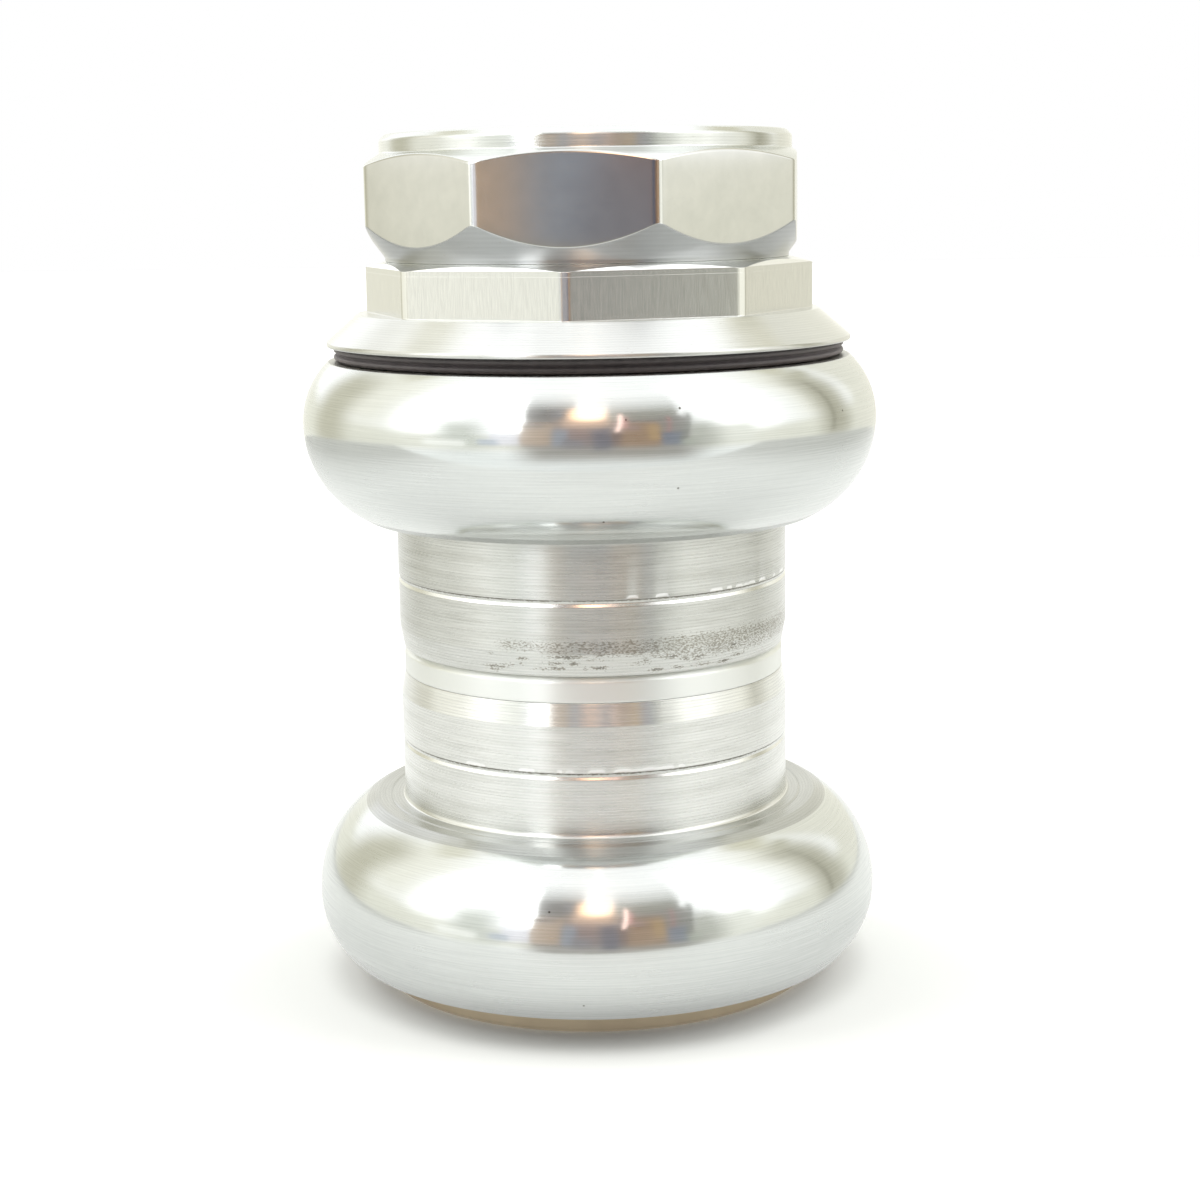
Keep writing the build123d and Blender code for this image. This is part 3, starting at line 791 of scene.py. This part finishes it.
crown = {
    "columns": 384, "bore": 15.0, "noseTip": 15.43, "noseDepth": 0.8, "noseTop": 16.63, "faceGap": 0.4,
    "flange": 19.7, "groove": 18.9, "grooveTop": 1.15, "grooveBottom": 2.15, "bottom": 4.45, "bevel": 0.3,
}
crownTable = [
    (crown["bore"], -crown["noseDepth"], 0.05),
    (crown["noseTip"], -crown["noseDepth"], 0.05),
    (crown["noseTop"], crown["faceGap"], 0.1),
    (crown["flange"], crown["faceGap"], 0.1),
    (crown["flange"], crown["grooveTop"], 0.05),
    (crown["groove"], crown["grooveTop"], 0.05),
    (crown["groove"], crown["grooveBottom"], 0.05),
    (crown["flange"], crown["grooveBottom"], 0.05),
    (crown["flange"], crown["bottom"] - crown["bevel"], 0.08),
    (crown["flange"] - crown["bevel"], crown["bottom"], 0.08),
    (crown["bore"] + crown["bevel"], crown["bottom"], 0.08),
    (crown["bore"], crown["bottom"] - crown["bevel"], 0.08),
]
makeRing("crown_race_ring", "crown_race", "lower_race", crownFinish, crownTable,
         crown["columns"], crown["bottom"], True)

# Bearings and the lower seal keep their solids and get finishes
nodeFinish = {
    "outer_ring": bearingFinish, "inner_ring": bearingFinish, "balls": bearingFinish,
    "cage": cageFinish, "rim_shield": sealFinish, "floor_shield": sealFinish, "crown_seal": sealFinish,
}
for node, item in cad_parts.items():
    for ending, finish in nodeFinish.items():
        if node.endswith(ending):
            for place in item.material_slots:
                place.material = finish
print("bearings dressed")


# Studio: white world, soft lamps above and to both sides, white floor, and a surround for reflections

def seenRays(tree):
    # light path, and 1 for rays of the camera, of reflections and of what shows through
    path = addNode(tree, "ShaderNodeLightPath")
    seen = addNode(tree, "ShaderNodeMath", {"operation": "MAXIMUM"}, {
        0: path.outputs["Is Camera Ray"], 1: path.outputs["Is Glossy Ray"]})
    seen = addNode(tree, "ShaderNodeMath", {"operation": "MAXIMUM"}, {
        0: seen.outputs["Value"], 1: path.outputs["Is Transmission Ray"]})
    return path, seen


# name, azimuth from the camera, elevation, share of white on the floor, angle across, in degrees
lamps = [
    ("overhead_lamp", 0, 90, 0.33, 40),
    ("left_lamp", -105, 32, 0.3, 60),
    ("right_lamp", 105, 32, 0.3, 60),
]
# soft light, weaker from the front: its strength goes over from front to back as the heading's Y does
ambient = {"front": 0.11, "back": 0.62, "from": -0.7, "to": 0.2}
world = bpy.data.worlds.new("white_studio")
world.use_nodes = True
skyTree = world.node_tree
skyTree.nodes.clear()
seen = seenRays(skyTree)[1]
direction = addNode(skyTree, "ShaderNodeTexCoord")
headings = addNode(skyTree, "ShaderNodeSeparateXYZ", None, {0: direction.outputs["Generated"]})
soft = addNode(skyTree, "ShaderNodeMapRange", None, {
    "Value": headings.outputs["Y"], "From Min": ambient["from"], "From Max": ambient["to"],
    "To Min": ambient["front"], "To Max": ambient["back"]})
level = addNode(skyTree, "ShaderNodeMapRange", None, {
    "Value": seen.outputs["Value"], "To Min": soft.outputs["Result"], "To Max": 1.0})
sky = addNode(skyTree, "ShaderNodeBackground", None, {
    "Color": (1, 1, 1, 1), "Strength": level.outputs["Result"]})
addNode(skyTree, "ShaderNodeOutputWorld", None, {"Surface": sky.outputs["Background"]})
bpy.context.scene.world = world

for name, azimuth, elevation, share, across in lamps:
    heading = radians(azimuth + view["azimuth"] - 90)
    rise = radians(elevation)
    towards = Vector((np.cos(heading) * np.cos(rise), np.sin(heading) * np.cos(rise), np.sin(rise)))
    lamp = bpy.data.lights.new(name, "SUN")
    lamp.energy = share * pi / np.sin(rise)
    lamp.angle = radians(across)
    lampObject = newObject(name, lamp)
    lampObject.rotation_euler = towards.to_track_quat("Z", "Y").to_euler()
    lampObject.visible_glossy = False     # the surround stands for it in reflections

floor = {
    "front": 0.108, "back": 2.0, "side": 2.0, "colour": "F7F8F4", "glow": 0.07,
    "mirrored": "BABBB7", "aside": "7B7C75", "asideFrom": 0.08, "asideTo": 0.2, "mirroredGlow": 0.4,
}
floorMesh = bpy.data.meshes.new("floor_sheet")
floorMesh.from_pydata([
    (-floor["side"], -floor["front"], 0), (floor["side"], -floor["front"], 0),
    (floor["side"], floor["back"], 0), (-floor["side"], floor["back"], 0)], [], [(0, 1, 2, 3)])
floorSheet = newObject("floor_sheet", floorMesh)
# matt white paper: a glow lifts it to white for the camera and, with a darker sheet, its shadow for the metal
paper, paperTree = newMaterial("paper_matt")
path, seen = seenRays(paperTree)
glowShare = addNode(paperTree, "ShaderNodeMapRange", None, {
    "Value": path.outputs["Is Camera Ray"], "To Min": floor["mirroredGlow"], "To Max": floor["glow"]})
lift = addNode(paperTree, "ShaderNodeMath", {"operation": "MULTIPLY"}, {
    0: seen.outputs["Value"], 1: glowShare.outputs["Result"]})
# the metal sees the sheet darker away to both sides
coords = addNode(paperTree, "ShaderNodeTexCoord")
parts = addNode(paperTree, "ShaderNodeSeparateXYZ", None, {0: coords.outputs["Object"]})
beside = addNode(paperTree, "ShaderNodeMath", {"operation": "ABSOLUTE"}, {0: parts.outputs["X"]})
away = addNode(paperTree, "ShaderNodeMapRange", None, {
    "Value": beside.outputs["Value"], "From Min": floor["asideFrom"], "From Max": floor["asideTo"]})
mirrored = addNode(paperTree, "ShaderNodeMix", {"data_type": "RGBA"}, {
    "Factor": away.outputs["Result"], 6: linear(floor["mirrored"]), 7: linear(floor["aside"])})
sheetTone = addNode(paperTree, "ShaderNodeMix", {"data_type": "RGBA"}, {
    "Factor": path.outputs["Is Camera Ray"], 6: mirrored.outputs[2], 7: linear(floor["colour"])})
matt = addNode(paperTree, "ShaderNodeBsdfDiffuse", None, {"Color": sheetTone.outputs[2]})
glow = addNode(paperTree, "ShaderNodeEmission", None, {"Strength": lift.outputs["Value"]})
sheet = addNode(paperTree, "ShaderNodeAddShader", None, {
    0: matt.outputs["BSDF"], 1: glow.outputs["Emission"]})
addNode(paperTree, "ShaderNodeOutputMaterial", None, {"Surface": sheet.outputs["Shader"]})
floorMesh.materials.append(paper)

# What the metal reflects: azimuth from the camera, positive to its right, and elevation, in degrees.
# Colours are written as they show in the bowls, and level makes up for the light that aluminium takes.
# Its grid is finer in front: each stretch is from, to and the number of steps.
surround = {
    "radius": 0.4, "centreHeight": 37 * mm, "base": "FFFFFF", "level": 1.4,
    "wave": 0.2, "waveRate": 14,
    "strengths": {
        "left softbox": 1.5, "right softbox": 1.5, "left bright panel": 2.8, "right leaning light": 1.2,
        "lamp": 3.0, "slit": 1.3, "small lamp": 2.0},
    "azimuths": [(-180, -140, 16), (-140, -48, 92), (-48, 48, 192), (48, 140, 92), (140, 180, 16)],
    "elevations": [(-90, -22, 20), (-22, -4, 18), (-4, 44, 96), (44, 72, 28), (72, 90, 9)],
}
patches = [
    # name, azimuth, elevation, half width, half height, soft edges across and up, lean, colour
    ("horizon", 0, 1, 400, 8, 8, 8, 0, "DBDACD"),
    ("paper", 0, -50, 400, 42, 6, 6, 0, "E7EAE9"),
    ("left softbox", -67, 36, 15, 26, 16, 16, 0, "FFFFFF"),
    ("right softbox", 61, 36, 15, 26, 16, 16, 0, "FFFFFF"),
    ("left haze", -107, 32, 22, 24, 26, 26, 0, "ECEADF"),
    ("right haze", 105, 32, 14, 24, 22, 22, 0, "ECEADF"),
    ("back wall", 180, 12, 24, 24, 16, 20, 0, "E4E3DB"),
    ("left wall", -122, 14, 12, 24, 18, 18, 0, "BBB8A6"),
    ("left arch", -121, 52, 14, 6, 9, 9, 0, "D2CFBC"),
    ("right wall", 111, 18, 10, 26, 16, 16, 0, "ACA998"),
    ("right far wall", 146, 18, 18, 26, 12, 16, 0, "DAD8CC"),
    ("right arch", 125, 50, 14, 7, 9, 9, 0, "C6C2AC"),
    ("right dark strip", 109.7, 17, 1.5, 20, 3, 3, 0.1, "8E8B7A"),
    ("right dark head", 118, 38, 7, 3, 6, 6, 0, "B3B09D"),
    ("left grey panel", -50, 9, 9, 14, 14, 18, -0.15, "C3C6BD"),
    ("left pale strip", -56, 0, 9, 3, 4, 4, 0, "F6F6F0"),
    ("left bright panel", -33, 32, 7.2, 19, 2.5, 5, -0.22, "FFFFFF"),
    ("left fine line", -39.6, 27, 0.5, 11, 1, 6, -0.2, "D4D7D6"),
    ("left bright foot", -31.5, 6, 6, 7, 3, 5, 0, "DDDBE3"),
    ("left bright toe", -38, 2, 4, 3, 3, 3, 0, "A9B2BF"),
    ("right pale panel", 56, 5, 9, 10, 8, 8, 0, "DEDED4"),
    ("right grey panel", 43, 7, 7, 14, 12, 14, 0, "ACADA3"),
    ("front paper", 8, -8, 33, 8, 16, 13, 0, "928F89"),
    ("grey panel left", -15, 31, 11.5, 16, 3, 32, -0.2, "878784"),
    ("grey panel left foot", -16, 34, 10, 8, 4, 14, -0.1, "6C6967"),
    ("blue streak", -12.5, 36, 2, 5, 3, 6, 0, "7A7C82"),
    ("grey panel right", 20, 27, 15, 16, 4, 32, 0.2, "9C9D95"),
    ("grey panel right foot", 24, 31, 13, 6, 5, 9, 0, "8D8C83"),
    ("right leaning light", 42.6, 42, 1.0, 12, 1.6, 8, 0.5, "FFFFFF"),
    ("front opening", 7, 12, 31, 15, 2.5, 7, 0.05, "7C7674"),
    ("brown panel left", -20, 12, 6, 13, 2.2, 6, 0, "B09A86"),
    ("brown panel left top", -21.5, 22, 4.5, 3, 3, 4, 0, "8F8178"),
    ("blue strip left", -10.8, 8, 3, 10, 2.5, 6, 0, "868F9C"),
    ("mauve strip", -4, 10, 4.2, 13, 3.5, 7, 0, "806F6E"),
    ("mauve strip foot", -6, 1, 4, 5, 3, 5, 0, "77767D"),
    ("blue strip middle", 4.5, 6, 3.5, 12, 3, 7, 0, "5A5D6C"),
    ("brown strip", 10.5, 6, 2.4, 9, 2, 5, 0, "6E5C57"),
    ("brown panel right", 19.5, 10, 7.5, 14, 2.5, 6, 0.05, "93785F"),
    ("golden strip", 24.2, 12, 2.2, 9, 2, 5, 0, "AC8C60"),
    ("mauve patch", 16.5, 18, 2.6, 3, 2, 4, 0, "8F7872"),
    ("grey strip right", 32, 20, 5, 9, 3, 7, 0, "807D78"),
    ("red line", 30.6, 20, 0.6, 9, 1.2, 5, 0.1, "AC7674"),
    ("blue panel right", 31.5, 4, 4.5, 7, 2, 5, 0, "6C7484"),
    ("right low panel", 37, 0, 2.8, 4, 3, 3, 0, "A0A498"),
    ("dark edge", 37.3, 16, 1.2, 15, 2, 7, 0.2, "777870"),
    ("lamp glow", -2, 24.5, 9.5, 4.5, 8, 7, 0, "C8A995"),
    ("lamp", -0.8, 35, 6, 6.5, 9, 9, 0, "FFD0A8"),
    ("slit", 0.8, 63, 3.2, 20, 2.5, 5, 0.12, "FFFFFF"),
    ("small lamp glow", 13.6, 24, 1.3, 6, 2, 5, 0.1, "C08A84"),
    ("small lamp", 11.6, 24, 0.8, 10, 1.4, 5, 0.12, "FFDCD0"),
]


def gridSteps(stretches):
    steps = [np.linspace(*stretch, endpoint=False) for stretch in stretches]
    return np.concatenate(steps + [[stretches[-1][1]]])


def makeSurround():
    # sphere of colours: each patch is a soft-edged panel, the product of a soft step across and one up,
    # that leans by so many degrees across for each degree up, with slightly wavy sides
    az, el = np.meshgrid(gridSteps(surround["azimuths"]), gridSteps(surround["elevations"]), indexing="ij")
    colour = np.ones(az.shape + (3,)) * np.array(linear(surround["base"])[:3])
    for name, az0, el0, halfWidth, halfHeight, softAcross, softUp, lean, hexCode in patches:
        wave = surround["wave"] * np.sin(np.radians(el * surround["waveRate"]) + az0)
        across = np.abs((az - az0 - lean * (el - el0) + wave + 180) % 360 - 180)
        if halfWidth > 180:
            across = np.zeros_like(az)
        mask = softStep(halfWidth - across, -softAcross / 2, softAcross / 2)
        mask = mask * softStep(halfHeight - np.abs(el - el0), -softUp / 2, softUp / 2)
        mask = mask[:, :, None]
        tone = np.array(linear(hexCode)[:3]) * surround["strengths"].get(name, 1)
        colour = colour * (1 - mask) + mask * tone
    colour = colour * surround["level"]
    heading = np.radians(az + view["azimuth"] - 90)
    flat = np.cos(np.radians(el)) * surround["radius"]
    height = surround["centreHeight"] + np.sin(np.radians(el)) * surround["radius"]
    points = np.stack([flat * np.cos(heading), flat * np.sin(heading), height], axis=2)
    columns, rows = az.shape
    index = np.arange(columns * rows).reshape(columns, rows)
    quads = np.stack([index[:-1, :-1], index[:-1, 1:], index[1:, 1:], index[1:, :-1]], axis=2)
    mesh = bpy.data.meshes.new("studio_surround")
    mesh.from_pydata(points.reshape(-1, 3).tolist(), [], quads.reshape(-1, 4).tolist())
    attribute = mesh.attributes.new("tone", "FLOAT_COLOR", "POINT")
    tone = np.concatenate([colour, np.ones(az.shape + (1,))], axis=2)
    attribute.data.foreach_set("color", tone.astype(np.float32).ravel())
    material, tree = newMaterial("surround_tone")
    tones = addNode(tree, "ShaderNodeAttribute", {"attribute_name": "tone"})
    shine = addNode(tree, "ShaderNodeEmission", None, {"Color": tones.outputs["Color"]})
    addNode(tree, "ShaderNodeOutputMaterial", None, {"Surface": shine.outputs["Emission"]})
    material.cycles.emission_sampling = "NONE"
    mesh.materials.append(material)
    item = newObject("studio_surround", mesh)
    item.visible_camera = False
    item.visible_diffuse = False
    item.visible_shadow = False
    item.visible_transmission = False


makeSurround()
print("studio ready")


# Camera, fitted to the photograph's view

turn = radians(view["azimuth"])
place = Vector((
    view["sideways"] * np.cos(turn) + view["distance"] * np.sin(turn),
    view["sideways"] * np.sin(turn) - view["distance"] * np.cos(turn),
    view["height"])) * mm
cameraData = bpy.data.cameras.new("camera")
cameraData.sensor_width = 36.0
cameraData.lens = view["focalPixels"] / view["imagePixels"] * cameraData.sensor_width
cameraData.clip_start = 0.01
camera = newObject("camera", cameraData)
camera.matrix_world = (
    Matrix.Translation(place)
    @ Matrix.Rotation(turn, 4, "Z")
    @ Matrix.Rotation(radians(90 - view["pitch"]), 4, "X")
    @ Matrix.Rotation(radians(view["roll"]), 4, "Z"))
bpy.context.scene.camera = camera
bpy.context.scene.view_settings.view_transform = "Standard"
